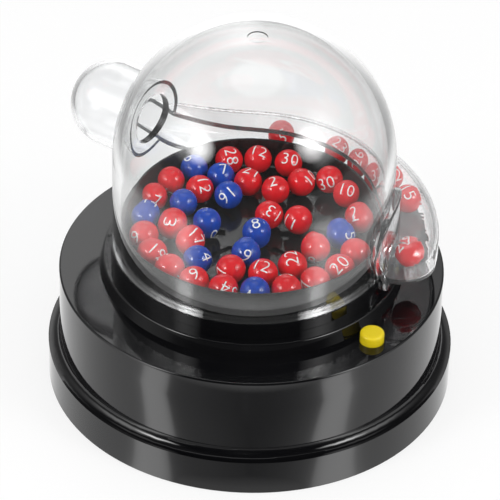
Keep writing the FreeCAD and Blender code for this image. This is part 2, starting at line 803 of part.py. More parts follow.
ball_share = (number(BALL_LEVEL) - number(LEDGE)) / (number(BOWL_RIM) - number(LEDGE))
taper_at_ball = SIZES["bowl_taper"] * ball_share
outer_ring = (
    number(RIM_INNER) - SIZES["bowl_taper"] + taper_at_ball - SIZES["ball_radius"] - SIZES["ball_wall_gap"]
)
for label, ring_azimuths, inner_spots in (
    ("red_balls", RING_RED, INNER_RED),
    ("blue_balls", RING_BLUE, INNER_BLUE),
):
    places = [(outer_ring, azimuth) for azimuth in ring_azimuths] + list(inner_spots)
    places = settled(places, number(BALL_LEVEL))
    balls = [
        ball(f"{label}_{i + 1}", r, azimuth, number(BALL_LEVEL)) for i, (r, azimuth) in enumerate(places)
    ]
    keep(group(label + "_group", balls), label)

end_ball_level = number("track_bottom + track_wall + ball_gap + ball_radius")
track_places = [(SIZES["drawn_ring"], azimuth) for azimuth in DRAWN] + [(SIZES["last_ring"], LAST_DRAWN)]
drawn = []
for r, azimuth in track_places:
    share = max(0.0, azimuth - SIZES["track_end_azimuth"]) / (180.0 - SIZES["track_end_azimuth"])
    level = end_ball_level + SIZES["track_fall"] * share
    drawn.append(ball(f"drawn_ball_{len(drawn) + 1}", r, azimuth, level))
keep(group("drawn_balls_group", drawn), "drawn_balls")

# Push button: a round cap with a retaining flange and a stem that reaches for the switch.
button = doc.addObject("PartDesign::Body", "push_button_body")
PLUNGER_TOP = BOARD_TOP + " + switch_rise + plunger_rise"
revolve(button, "button_form", [
    ("0", PLUNGER_TOP + " + button_travel + stem_gap"),
    ("button_stem_radius", PLUNGER_TOP + " + button_travel + stem_gap"),
    ("button_stem_radius", UNDERSIDE + " - button_flange"),
    ("button_flange_radius", UNDERSIDE + " - button_flange"),
    ("button_flange_radius", UNDERSIDE),
    ("button_radius", UNDERSIDE),
    ("button_radius", "deck_level + button_proud"),
    ("0", "deck_level + button_proud"),
])
round_rings(button, "button_edge", [("button_radius", "deck_level + button_proud")], "button_round")
button_foot = spot(SIZES["button_ring"], SIZES["button_azimuth"], 0.0)
button_place = placement(button_foot, SIZES["button_azimuth"] - 90.0)
button.Placement = button_place
keep(button, "push_button")

# Return spring: a wire coil between the board and the button's flange, in quarter turns.
spring_foot = number(BOARD_TOP + " + spring_wire_radius + stem_gap")
spring_rise = number(UNDERSIDE + " - button_flange - spring_wire_radius - stem_gap") - spring_foot


def coil_point(turns):
    angle = 2 * math.pi * turns
    radius = SIZES["spring_mean_radius"]
    return V(radius * math.cos(angle), radius * math.sin(angle), spring_rise * turns / SPRING_TURNS)


quarters = [0.25 * i for i in range(4 * SPRING_TURNS)]
coil_path = Part.Wire([
    Part.Arc(coil_point(q), coil_point(q + 0.125), coil_point(q + 0.25)).toShape() for q in quarters
])
coil_way = V(0, 2 * math.pi * SIZES["spring_mean_radius"] * SPRING_TURNS, spring_rise)
coil_way.normalize()
across = V(SIZES["spring_wire_radius"], 0, 0)
rounds = [
    coil_point(0) + FreeCAD.Rotation(coil_way, 360.0 * i / WIRE_SIDES).multVec(across)
    for i in range(WIRE_SIDES)
]
wire_section = Part.makePolygon(rounds + rounds[:1])
button_spring = doc.addObject("Part::Feature", "button_spring_shape")
button_spring.Shape = coil_path.makePipeShell([wire_section], True, False)
button_spring.Placement = button_place.multiply(placement(V(0, 0, spring_foot)))
keep(button_spring, "button_spring")

# Switch board, trimmed to the drum's wall, with a small push switch on it.
board_turn = placement(V(0, 0, 0), SIZES["button_azimuth"] - 90.0)
board_blank = box(
    "board_blank", "board_half_length", "board_half_length + board_half_length",
    "board_thickness", "0", "0", "0",
)
board_blank.Placement = board_turn.multiply(placement(
    V(SIZES["board_ring"] - SIZES["board_inset"], -SIZES["board_half_length"],
      number(BOARD_TOP + " - board_thickness")),
))
board_limit = cylinder("board_limit", "drum_radius - shell_wall - bowl_clearance", "deck_level")
board = doc.addObject("Part::Common", "board_trimmed")
board.Base = board_blank
board.Tool = board_limit
board_holes = []
for side in (1, -1):
    hole = cylinder(f"board_hole_{len(board_holes) + 1}", "small_screw_radius + screw_hole_gap", "deck_level")
    hole_spot = V(SIZES["board_ring"], side * SIZES["board_post_spread"], 0)
    hole.Placement = board_turn.multiply(placement(hole_spot))
    board_holes.append(hole)
keep(cut("board_cut", board, fuse("board_holes_both", board_holes)), "switch_board")

switch_body = doc.addObject("Part::Box", "switch_body")
bind(
    switch_body, Length="switch_half_width + switch_half_width",
    Width="switch_half_width + switch_half_width", Height="switch_rise",
)
half = SIZES["switch_half_width"]
switch_body.Placement = button_place.multiply(placement(V(-half, -half, number(BOARD_TOP))))
plunger = cylinder("switch_plunger", "plunger_radius", "switch_rise + plunger_rise")
plunger.Placement = button_place.multiply(placement(V(0, 0, number(BOARD_TOP))))
keep(fuse("switch_whole", [switch_body, plunger]), "push_switch")

# Motor: a flat-sided can with a front boss, a plastic end bell, and the shaft that turns the agitator.
motor_foot = number(MOTOR_FOOT)


def motor_slice(name, level, height):
    """A round of the motor between two levels, with its two flats."""
    round_part = cylinder(name + "_round", "motor_radius", height, z=level)
    flats = box(
        name + "_flats", "motor_radius + motor_radius", "motor_half_flats + motor_half_flats", height,
        "0 - motor_radius", "0 - motor_half_flats", level,
    )
    both = doc.addObject("Part::Common", name)
    both.Base = round_part
    both.Tool = flats
    return both


can = motor_slice("can_form", MOTOR_FOOT + " + motor_cap_length", "motor_length - motor_cap_length")
can_boss = cylinder("can_boss", "motor_boss_radius", "motor_boss", z=MOTOR_TOP)
CAN_FOOT = MOTOR_FOOT + " + motor_cap_length"
can_bore = cylinder("can_bore", "shaft_radius + running_fit", "motor_length", z=CAN_FOOT)
keep(cut("can_bored", fuse("can_whole", [can, can_boss]), can_bore), "motor_can")
bell_form = motor_slice("end_bell_form", MOTOR_FOOT, "motor_cap_length")
bell_bore = cylinder(
    "end_bell_bore", "shaft_radius + running_fit", "shaft_overlap", z=CAN_FOOT + " - shaft_overlap",
)
keep(cut("end_bell_bored", bell_form, bell_bore), "motor_end_bell")
shaft_foot = CAN_FOOT + " - shaft_overlap + running_fit"
shaft_reach = "motor_pad + bowl_floor + disc_gap + shaft_overlap"
shaft_length = "motor_length - motor_cap_length + shaft_overlap - running_fit + " + shaft_reach
keep(cylinder("shaft_form", "shaft_radius", shaft_length, z=shaft_foot), "motor_shaft")

# Motor strap: a round-ended plate under the motor, screwed to the bowl's two posts.
strap_ends = []
for side, sign in (("left", "0 - "), ("right", "")):
    strap_ends.append(cylinder(
        f"strap_end_{side}", "strap_half_width", "strap_thickness",
        x=sign + "motor_post_spread", z=MOTOR_FOOT + " - strap_thickness",
    ))
strap_bar = box(
    "strap_bar", "motor_post_spread + motor_post_spread",
    "strap_half_width + strap_half_width", "strap_thickness",
    "0 - motor_post_spread", "0 - strap_half_width", MOTOR_FOOT + " - strap_thickness",
)
strap_holes = []
for side, sign in (("left", "0 - "), ("right", "")):
    strap_holes.append(cylinder(
        f"strap_hole_{side}", "small_screw_radius + screw_hole_gap", "motor_length",
        x=sign + "motor_post_spread", z=MOTOR_FOOT + " - motor_length",
    ))
strap_form = fuse("strap_form", strap_ends + [strap_bar])
keep(cut("strap_cut", strap_form, fuse("strap_holes", strap_holes)), "motor_strap")

# Bottom cover: a round plate with the battery bay moulded up from it.
cover_disc = cylinder(
    "cover_disc", "flange_radius - shell_wall - cover_clearance", "cover_thickness", z="cover_recess",
)
bay_top = "cover_recess + bay_depth"
bay_block = box(
    "bay_block", "bay_half_length + bay_half_length + bay_wall + bay_wall",
    "bay_half_width + bay_half_width + bay_wall + bay_wall", "bay_depth + bay_wall",
    "0 - bay_half_length - bay_wall", "bay_centre - bay_half_width - bay_wall", "cover_recess",
)
bay_room = box(
    "bay_room", "bay_half_length + bay_half_length", "bay_half_width + bay_half_width", "bay_depth",
    "0 - bay_half_length", "bay_centre - bay_half_width", "cover_recess",
)
# Small corner ledges at the end away from the hinge stop the door.
DOOR_TOP = "cover_recess + door_recess + door_thickness"
ledges = []
for side, y in (
    ("front", "bay_centre - bay_half_width"),
    ("rear", "bay_centre + bay_half_width - ledge_length"),
):
    ledges.append(box(
        f"door_ledge_{side}", "ledge_depth", "ledge_length", "ledge_depth",
        "bay_half_length - ledge_depth", y, DOOR_TOP,
    ))
HINGE_X = "0 - bay_half_length + door_clearance + hinge_barrel_radius"
hinge_level = number("cover_recess + door_recess + hinge_barrel_radius")
pin_holes = doc.addObject("Part::Cylinder", "door_pin_holes")
bind(
    pin_holes, Radius="hinge_pin_radius + hinge_fit",
    Height="bay_half_width + bay_half_width + hinge_pin_length + hinge_pin_length + hinge_fit + hinge_fit",
)
hinge_reach = number("bay_half_width + hinge_pin_length + hinge_fit")
pin_holes.Placement = FreeCAD.Placement(
    V(number(HINGE_X), SIZES["bay_centre"] - hinge_reach, hinge_level), FreeCAD.Rotation(V(1, 0, 0), -90)
)
notch = cylinder(
    "finger_notch_tool", "finger_notch", "door_thickness",
    x="bay_half_length", y="bay_centre", z="cover_recess",
)
cover_screw_holes = []
for i in range(BOSSES):
    place = spot(SIZES["boss_ring"], 360.0 * i / BOSSES, 0.0)
    through = cylinder(f"cover_hole_{i + 1}", "screw_radius + screw_hole_gap", COVER_TOP)
    seat = cylinder(f"cover_seat_{i + 1}", "screw_head_radius + screw_hole_gap", "screw_head")
    through.Placement.Base = place
    seat.Placement.Base = place + V(0, 0, SIZES["cover_recess"])
    cover_screw_holes += [through, seat]
cover_solid = fuse("cover_solid", [cover_disc, bay_block])
cover_room = cut("cover_room", cover_solid, bay_room)
cover_ledged = fuse("cover_ledged", [cover_room] + ledges)
cover_cuts = fuse("cover_cuts", [pin_holes, notch] + cover_screw_holes)
keep(cut("cover_cut", cover_ledged, cover_cuts), "bottom_cover")

# Battery door: a plate whose rounded end carries two stub pins, and which swings down.
door_length = "bay_half_length + bay_half_length - door_clearance - door_clearance - hinge_barrel_radius"
door_plate = box(
    "door_plate", door_length,
    "bay_half_width + bay_half_width - door_clearance - door_clearance", "door_thickness",
    HINGE_X, "bay_centre - bay_half_width + door_clearance", "cover_recess + door_recess",
)
door_barrel = doc.addObject("Part::Cylinder", "door_barrel")
bind(
    door_barrel, Radius="hinge_barrel_radius",
    Height="bay_half_width + bay_half_width - door_clearance - door_clearance",
)
door_pins = doc.addObject("Part::Cylinder", "door_pins")
bind(
    door_pins, Radius="hinge_pin_radius",
    Height="bay_half_width + bay_half_width + hinge_pin_length + hinge_pin_length",
)
for obj, reach in (
    (door_barrel, "bay_half_width - door_clearance"),
    (door_pins, "bay_half_width + hinge_pin_length"),
):
    obj.Placement = FreeCAD.Placement(
        V(number(HINGE_X), SIZES["bay_centre"] - number(reach), hinge_level),
        FreeCAD.Rotation(V(1, 0, 0), -90),
    )
keep(fuse("door_form", [door_plate, door_barrel, door_pins]), "battery_door")


# Batteries: two round cells, side by side and end to end about.
def cell(name, side, turned):
    body = cylinder(name + "_can", "cell_radius", "cell_length")
    nipple = cylinder(name + "_nipple", "cell_nipple_radius", "cell_length + cell_nipple")
    whole = fuse(name + "_form", [body, nipple])
    half_length = 0.5 * number("cell_length + cell_nipple")
    y = SIZES["bay_centre"] + side * number("cell_radius + cell_gap")
    z = number("cover_recess + door_recess + door_thickness + cell_radius + cell_gap + cell_gap")
    direction = -1 if turned else 1
    whole.Placement = FreeCAD.Placement(
        V(-direction * half_length, y, z), FreeCAD.Rotation(V(0, 1, 0), direction * 90)
    )
    return whole


keep(cell("front_cell", -1, False), "battery_front")
keep(cell("rear_cell", 1, True), "battery_rear")

# Contacts: a bent strip at each end of each cell, from the bay's end wall to the cell.
contact_level = number("cover_recess + door_recess + door_thickness + cell_gap + cell_gap + cell_radius")


def contact(name, reach):
    """A strip on the wall at x = 0 that bends out to a flat pad at the given reach along +X."""
    strip = SIZES["contact_strip"]
    tall = 0.7 * SIZES["cell_radius"]
    corners = [
        V(0, 0, tall), V(strip, 0, tall), V(strip, 0, 0.6 * tall), V(reach, 0, 0.25 * tall),
        V(reach, 0, -0.25 * tall), V(reach - strip, 0, -0.25 * tall), V(reach - strip, 0, 0.2 * tall),
        V(0, 0, 0.55 * tall),
    ]
    face = Part.Face(Part.makePolygon(corners + corners[:1]))
    strip_solid = face.extrude(V(0, 2 * SIZES["contact_half_width"], 0))
    strip_solid.translate(V(0, -SIZES["contact_half_width"], 0))
    piece = doc.addObject("Part::Feature", name)
    piece.Shape = strip_solid
    return piece


contacts = []
for name, side, end in (
    ("front_left", -1, -1), ("front_right", -1, 1), ("rear_left", 1, -1), ("rear_right", 1, 1),
):
    piece = contact(name, SIZES["contact_reach"])
    y = SIZES["bay_centre"] + side * number("cell_radius + cell_gap")
    piece.Placement = FreeCAD.Placement(
        V(end * SIZES["bay_half_length"], y, contact_level), FreeCAD.Rotation(UP, 0 if end < 0 else 180)
    )
    contacts.append(piece)
keep(group("contacts_group", contacts), "battery_contacts")

# Screws: four for the cover, three for the bowl, two each for the motor strap and the switch board.
cover_screw = screw("cover_screw", "screw_radius", "cover_screw_length", "screw_head_radius", "screw_head")
keep(copy_at("cover_screw_set", cover_screw, [
    placement(spot(SIZES["boss_ring"], 360.0 * i / BOSSES, SIZES["cover_recess"])) for i in range(BOSSES)
]), "cover_screws")
bowl_screw = screw(
    "bowl_screw", "small_screw_radius", "seat_thickness + bowl_screw_grip", "small_head_radius", "small_head",
)
bowl_screw_ring = number("seat_inner_radius + bowl_screw_inset")
bowl_screw_level = number(SEAT + " - seat_thickness - small_head")
keep(copy_at("bowl_screw_set", bowl_screw, [
    placement(spot(bowl_screw_ring, 360.0 * i / BOWL_SCREWS, bowl_screw_level)) for i in range(BOWL_SCREWS)
]), "bowl_screws")
strap_screw = screw(
    "strap_screw", "small_screw_radius", "strap_thickness + small_screw_grip",
    "small_head_radius", "small_head",
)
strap_screw_level = number(MOTOR_FOOT + " - strap_thickness - small_head")
keep(copy_at("strap_screw_set", strap_screw, [
    placement(V(side * SIZES["motor_post_spread"], 0, strap_screw_level)) for side in (-1, 1)
]), "strap_screws")
board_screw = screw(
    "board_screw", "small_screw_radius", "board_thickness + small_screw_grip",
    "small_head_radius", "small_head",
)
board_screw_level = number(BOARD_TOP + " - board_thickness - small_head")
keep(copy_at("board_screw_set", board_screw, [
    board_turn.multiply(placement(
        V(SIZES["board_ring"], side * SIZES["board_post_spread"], board_screw_level)
    ))
    for side in (-1, 1)
]), "board_screws")

doc.recompute()
for obj in doc.Objects:
    if "Invalid" in obj.State or "Error" in obj.State:
        raise RuntimeError(f"{obj.Name} failed: {obj.State}")
os.makedirs("parts", exist_ok=True)
for obj in parts:
    shape = obj.Shape
    if shape.isNull() or not shape.isValid():
        raise RuntimeError(f"{obj.Label} has no valid shape")
    shape.exportStep(f"parts/{obj.Label}.step")
    print(f"{obj.Label}: {len(shape.Solids)} solid(s), {shape.Volume:.1f} mm3")
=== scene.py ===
import bpy
import json
import math
from mathutils import Matrix, Vector

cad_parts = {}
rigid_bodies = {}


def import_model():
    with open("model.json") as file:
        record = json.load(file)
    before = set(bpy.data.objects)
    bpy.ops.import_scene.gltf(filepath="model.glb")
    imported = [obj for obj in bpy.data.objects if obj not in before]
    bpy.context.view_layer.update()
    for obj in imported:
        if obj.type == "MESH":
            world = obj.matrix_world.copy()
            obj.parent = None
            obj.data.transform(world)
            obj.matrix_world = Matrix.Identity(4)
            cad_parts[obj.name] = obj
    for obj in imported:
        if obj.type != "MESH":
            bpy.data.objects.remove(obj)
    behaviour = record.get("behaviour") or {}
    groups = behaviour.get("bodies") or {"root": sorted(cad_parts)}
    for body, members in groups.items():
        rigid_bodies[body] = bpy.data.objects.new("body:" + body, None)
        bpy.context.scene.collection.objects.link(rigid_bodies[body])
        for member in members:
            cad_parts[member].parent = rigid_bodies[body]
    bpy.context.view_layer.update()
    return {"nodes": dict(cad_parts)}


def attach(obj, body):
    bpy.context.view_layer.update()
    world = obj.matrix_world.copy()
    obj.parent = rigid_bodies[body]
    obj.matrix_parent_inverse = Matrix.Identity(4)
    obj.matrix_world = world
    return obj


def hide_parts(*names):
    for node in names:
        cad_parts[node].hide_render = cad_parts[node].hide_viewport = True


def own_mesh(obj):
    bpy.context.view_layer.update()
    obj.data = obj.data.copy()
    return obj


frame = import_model()
nodes = frame["nodes"]
print("frame loaded:", len(nodes), "nodes")

deg = math.radians
white = (1.0, 1.0, 1.0, 1.0)
up = (0, 0, 1)
mmPerMetre = 1000


def deselectAll():
    if bpy.context.object and bpy.context.object.mode != "OBJECT":
        bpy.ops.object.mode_set(mode="OBJECT")
    bpy.ops.object.select_all(action="DESELECT")


def pick(obj):
    deselectAll()
    obj.select_set(True)
    bpy.context.view_layer.objects.active = obj


def editAll():
    bpy.ops.object.mode_set(mode="EDIT")
    bpy.ops.mesh.select_all(action="SELECT")


def coatWith(obj, mat):
    obj.data.materials.clear()
    obj.data.materials.append(mat)


# noise scales are per metre; a bump's share is how much of it is felt
texture = {
    "rough": 0.55,
    "driftScale": 38.0, "driftDetail": 2.0,
    "marksScale": 210.0, "marksDetail": 5.0, "marksRough": 0.6,
    "peelDetail": 2.0, "peelShare": 0.35, "hazeScale": 55.0, "hazeDetail": 4.0,
    "waveScale": 26.0, "waveDetail": 1.0, "waveShare": 0.25,
    "brushedScale": 900.0, "brushedDetail": 3.0,
    "plasticIor": 1.5, "lampTint": (0.93, 0.94, 0.94, 1.0),
}
# the colour sockets of a mix node
mixFirst, mixSecond, mixOut = 6, 7, 2


def newMaterial(name):
    mat = bpy.data.materials.new(name)
    mat.use_nodes = True
    tree = mat.node_tree
    tree.nodes.clear()
    out = tree.nodes.new("ShaderNodeOutputMaterial")
    return mat, tree, out


# each setting goes to the input of that name, or else to the node itself
def addNode(tree, kind, **settings):
    node = tree.nodes.new(kind)
    for key, value in settings.items():
        if key in node.inputs:
            node.inputs[key].default_value = value
        else:
            setattr(node, key, value)
    return node


def noiseOn(tree, scale, detail, rough=texture["rough"]):
    coords = addNode(tree, "ShaderNodeTexCoord")
    noise = addNode(tree, "ShaderNodeTexNoise", Scale=scale, Detail=detail, Roughness=rough)
    tree.links.new(coords.outputs["Object"], noise.inputs["Vector"])
    return noise


# the usual span, 0.3 to 0.7, is where most of a noise lies
def rangeOf(tree, source, low, high, fromLow=0.3, fromHigh=0.7):
    ranged = addNode(tree, "ShaderNodeMapRange")
    ranged.inputs["From Min"].default_value = fromLow
    ranged.inputs["From Max"].default_value = fromHigh
    ranged.inputs["To Min"].default_value = low
    ranged.inputs["To Max"].default_value = high
    tree.links.new(source, ranged.inputs["Value"])
    return ranged.outputs["Result"]


def bumpBy(tree, shader, noise, share, height):
    bump = addNode(tree, "ShaderNodeBump", Strength=share, Distance=height)
    tree.links.new(noise.outputs["Fac"], bump.inputs["Height"])
    tree.links.new(bump.outputs["Normal"], shader.inputs["Normal"])


def roughBy(tree, shader, noise, low, high):
    tree.links.new(rangeOf(tree, noise.outputs["Fac"], low, high), shader.inputs["Roughness"])


# opaque moulded plastic: a little colour drift, handling marks in the gloss and a faint orange peel
def mouldedPlastic(name, base, shade, roughLow, roughHigh, peelScale, peelHeight):
    mat, tree, out = newMaterial(name)
    shader = addNode(tree, "ShaderNodeBsdfPrincipled", IOR=texture["plasticIor"])
    drift = noiseOn(tree, texture["driftScale"], texture["driftDetail"])
    tint = addNode(tree, "ShaderNodeMix", data_type="RGBA")
    tint.inputs[mixFirst].default_value = (*base, 1.0)
    tint.inputs[mixSecond].default_value = (*shade, 1.0)
    tree.links.new(rangeOf(tree, drift.outputs["Fac"], 0.0, 1.0), tint.inputs[0])
    tree.links.new(tint.outputs[mixOut], shader.inputs["Base Color"])
    marks = noiseOn(tree, texture["marksScale"], texture["marksDetail"], texture["marksRough"])
    roughBy(tree, shader, marks, roughLow, roughHigh)
    peel = noiseOn(tree, peelScale, texture["peelDetail"])
    bumpBy(tree, shader, peel, texture["peelShare"], peelHeight)
    tree.links.new(shader.outputs["BSDF"], out.inputs["Surface"])
    return mat


# see-through plastic with faint handling haze and moulding waves, and lamps shine through it
def clearPlastic(name, tint, roughLow, roughHigh, waveHeight, clearness):
    mat, tree, out = newMaterial(name)
    shader = addNode(tree, "ShaderNodeBsdfPrincipled", IOR=texture["plasticIor"])
    shader.inputs["Base Color"].default_value = (*tint, 1.0)
    shader.inputs["Transmission Weight"].default_value = clearness
    haze = noiseOn(tree, texture["hazeScale"], texture["hazeDetail"])
    roughBy(tree, shader, haze, roughLow, roughHigh)
    waves = noiseOn(tree, texture["waveScale"], texture["waveDetail"])
    bumpBy(tree, shader, waves, texture["waveShare"], waveHeight)
    lampLight = addNode(tree, "ShaderNodeBsdfTransparent", Color=texture["lampTint"])
    rays = addNode(tree, "ShaderNodeLightPath")
    mix = addNode(tree, "ShaderNodeMixShader")
    tree.links.new(rays.outputs["Is Shadow Ray"], mix.inputs[0])
    tree.links.new(shader.outputs["BSDF"], mix.inputs[1])
    tree.links.new(lampLight.outputs["BSDF"], mix.inputs[2])
    tree.links.new(mix.outputs["Shader"], out.inputs["Surface"])
    return mat


# bare metal with fine marks in its gloss, drawn out into lines along an axis with a small stretch
def metal(name, base, roughLow, roughHigh, brush):
    mat, tree, out = newMaterial(name)
    shader = addNode(tree, "ShaderNodeBsdfPrincipled", Metallic=1.0)
    shader.inputs["Base Color"].default_value = (*base, 1.0)
    coords = addNode(tree, "ShaderNodeTexCoord")
    stretch = addNode(tree, "ShaderNodeMapping")
    stretch.inputs["Scale"].default_value = brush
    lines = addNode(
        tree, "ShaderNodeTexNoise", Scale=texture["brushedScale"], Detail=texture["brushedDetail"])
    tree.links.new(coords.outputs["Object"], stretch.inputs["Vector"])
    tree.links.new(stretch.outputs["Vector"], lines.inputs["Vector"])
    roughBy(tree, shader, lines, roughLow, roughHigh)
    tree.links.new(shader.outputs["BSDF"], out.inputs["Surface"])
    return mat


# colour, the shade it drifts to, roughness from and to, peel scale per metre, peel height in m
plastics = {
    "black gloss plastic": (
        (0.0025, 0.0025, 0.003), (0.004, 0.004, 0.0045), 0.035, 0.06, 160.0, 0.000004),
    "bowl black plastic": (
        (0.005, 0.005, 0.005), (0.008, 0.008, 0.008), 0.05, 0.10, 160.0, 0.000004),
    "disc black plastic": (
        (0.009, 0.009, 0.009), (0.013, 0.013, 0.013), 0.08, 0.16, 200.0, 0.000006),
    "red ball plastic": ((0.68, 0.008, 0.014), (0.74, 0.012, 0.020), 0.03, 0.07, 420.0, 0.000005),
    "blue ball plastic": ((0.006, 0.050, 0.36), (0.009, 0.060, 0.41), 0.03, 0.07, 420.0, 0.000005),
    "white number ink": ((0.84, 0.84, 0.84), (0.90, 0.90, 0.90), 0.30, 0.42, 900.0, 0.000004),
    "yellow button plastic": ((0.86, 0.66, 0.008), (0.90, 0.71, 0.012), 0.34, 0.46, 500.0, 0.00001),
    "cover black plastic": (
        (0.016, 0.016, 0.017), (0.022, 0.022, 0.023), 0.34, 0.46, 700.0, 0.00003),
    "white nylon": ((0.72, 0.71, 0.66), (0.76, 0.75, 0.71), 0.4, 0.52, 500.0, 0.00002),
    "switch plastic": ((0.02, 0.02, 0.02), (0.03, 0.03, 0.03), 0.38, 0.5, 500.0, 0.00002),
    "board laminate": ((0.02, 0.10, 0.045), (0.03, 0.13, 0.06), 0.28, 0.4, 600.0, 0.00002),
    "cell jacket": ((0.03, 0.035, 0.045), (0.04, 0.045, 0.055), 0.2, 0.3, 500.0, 0.00001),
}
# tint, roughness from and to, wave height in m, and how clear it is
clears = {
    "dome clear plastic": ((0.978, 0.983, 0.983), 0.0, 0.015, 0.00001, 1.0),
    "track clear plastic": ((0.975, 0.978, 0.982), 0.0, 0.012, 0.00001, 0.975),
}
# colour, roughness from and to, and the brushing's stretch along each axis
metals = {
    "nickel": ((0.66, 0.65, 0.62), 0.16, 0.28, (1, 1, 1)),
    "zinc steel": ((0.60, 0.61, 0.62), 0.26, 0.4, (1, 1, 1)),
    "can steel": ((0.62, 0.62, 0.62), 0.22, 0.36, (1, 1, 0.05)),
}
made = {}
for make, rows in ((mouldedPlastic, plastics), (clearPlastic, clears), (metal, metals)):
    for name, row in rows.items():
        made[name] = make(name, *row)

finishes = {
    "base_housing": "black gloss plastic", "mixing_bowl": "bowl black plastic",
    "agitator_disc": "disc black plastic", "dome_shell": "dome clear plastic",
    "catch_pod": "track clear plastic", "ball_track": "track clear plastic",
    "red_balls": "red ball plastic", "blue_balls": "blue ball plastic",
    "drawn_balls": "red ball plastic", "push_button": "yellow button plastic",
    "button_spring": "nickel", "switch_board": "board laminate",
    "push_switch": "switch plastic", "motor_can": "can steel", "motor_end_bell": "white nylon",
    "motor_shaft": "nickel", "motor_strap": "zinc steel", "bottom_cover": "cover black plastic",
    "battery_door": "cover black plastic", "battery_front": "cell jacket",
    "battery_rear": "cell jacket", "battery_contacts": "nickel", "cover_screws": "zinc steel",
    "bowl_screws": "zinc steel", "strap_screws": "zinc steel", "board_screws": "zinc steel",
}
for name, finish in finishes.items():
    coatWith(nodes[name], made[finish])
print("materials:", len(set(finishes.values())))

# the catch hole in the dome, and the way it faces, counted from the front towards the right
hole = {"azimuth": 235.0, "level": 0.073, "radius": 0.008, "sides": 96}
holeWay = Vector((math.sin(deg(hole["azimuth"])), -math.cos(deg(hole["azimuth"])), 0.0))

# edges sharper than the angle stay crisp; a face this much aside of its turned slope isn't turned
shading = {"angle": 32.0, "weld": 0.000002, "aside": 0.06}
skins = {
    # body, then a spot on the axis the piece is turned about and that axis's way
    "base_housing": ("base", (0, 0, 0), up), "mixing_bowl": ("base", (0, 0, 0), up),
    "catch_pod": ("dome", (0, 0, hole["level"]), holeWay), "ball_track": ("dome", (0, 0, 0), up),
    "red_balls": ("agitator", None, None), "blue_balls": ("agitator", None, None),
    "drawn_balls": ("dome", None, None), "push_button": ("button", None, up),
}


# from the axis straight out to a spot
def outFrom(spot, place, way):
    arm = spot - place
    arm = arm - way * arm.dot(way)
    return arm.normalized() if arm.length > 0 else way.orthogonal().normalized()


# each corner is shaded by the slope of the widest faces round it, carried round the axis where
# they turn about it
def turnNormals(skin, place, way):
    mesh = skin.data
    faces = []
    for face in mesh.polygons:
        area = face.area * mmPerMetre ** 2
        faces.append((face.normal.copy(), face.center.copy(), area, tuple(face.vertices)))
    slopes = []
    fans = [[] for corner in mesh.vertices]
    for i, (normal, middle, area, corners) in enumerate(faces):
        out = outFrom(middle, place, way)
        turnedFace = abs(normal.dot(way.cross(out))) < shading["aside"]
        slopes.append((normal.dot(out), normal.dot(way)) if turnedFace else None)
        for corner in corners:
            fans[corner].append(i)
    kept = math.cos(deg(shading["angle"]))
    normals = []
    for normal, middle, area, corners in faces:
        for corner in corners:
            out = outFrom(mesh.vertices[corner].co, place, way)
            total = Vector((0, 0, 0))
            for i in fans[corner]:
                if faces[i][0].dot(normal) < kept:
                    continue
                slope = slopes[i]
                facing = faces[i][0] if slope is None else out * slope[0] + way * slope[1]
                total += facing * faces[i][2] ** 2
            normals.append(total.normalized() if total.length > 0 else normal)
    mesh.normals_split_custom_set(normals)


# a welded copy of a solid, shaded smooth, stands for it
def smoothSkin(name, body, place, way):
    pick(nodes[name])
    bpy.ops.object.duplicate()
    skin = bpy.context.object
    skin.name = name + "_skin"
    bpy.ops.object.parent_clear(type="CLEAR_KEEP_TRANSFORM")
    editAll()
    bpy.ops.mesh.remove_doubles(threshold=shading["weld"])
    bpy.ops.object.mode_set(mode="OBJECT")
    bpy.ops.object.shade_smooth_by_angle(angle=deg(shading["angle"]))
    if way is not None:
        spots = [v.co for v in skin.data.vertices]
        middle = [0.5 * (min(p[i] for p in spots) + max(p[i] for p in spots)) for i in range(3)]
        turnNormals(skin, Vector(place or middle), Vector(way))
    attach(skin, body)
    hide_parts(name)
    return skin


for name, row in skins.items():
    smoothSkin(name, *row)

# the coil's node, the height of its end that stands on the post, and the button's travel
coil = {"node": "button_spring", "foot": 0.0252, "travel": 0.0015}
spring = smoothSkin(coil["node"], "base", None, None)
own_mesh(spring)

# the dome is turned afresh, so that its curve stays even round the catch hole; lengths in m
bell = {
    "radius": 0.04086, "wall": 0.0024, "foot": 0.04635, "middle": 0.07585,
    "around": 160, "up": 80, "bands": 12, "weld": 0.000001,
    "gate": 0.0028, "gateSlope": 0.0003, "gateDepth": 0.00038, "gateSides": 96,
}


def cutAway(obj, tool, name):
    pick(obj)
    cut = obj.modifiers.new(name, "BOOLEAN")
    cut.operation = "DIFFERENCE"
    cut.solver = "EXACT"
    cut.object = tool
    bpy.ops.object.modifier_apply(modifier=name)
    pick(tool)
    bpy.ops.object.delete()


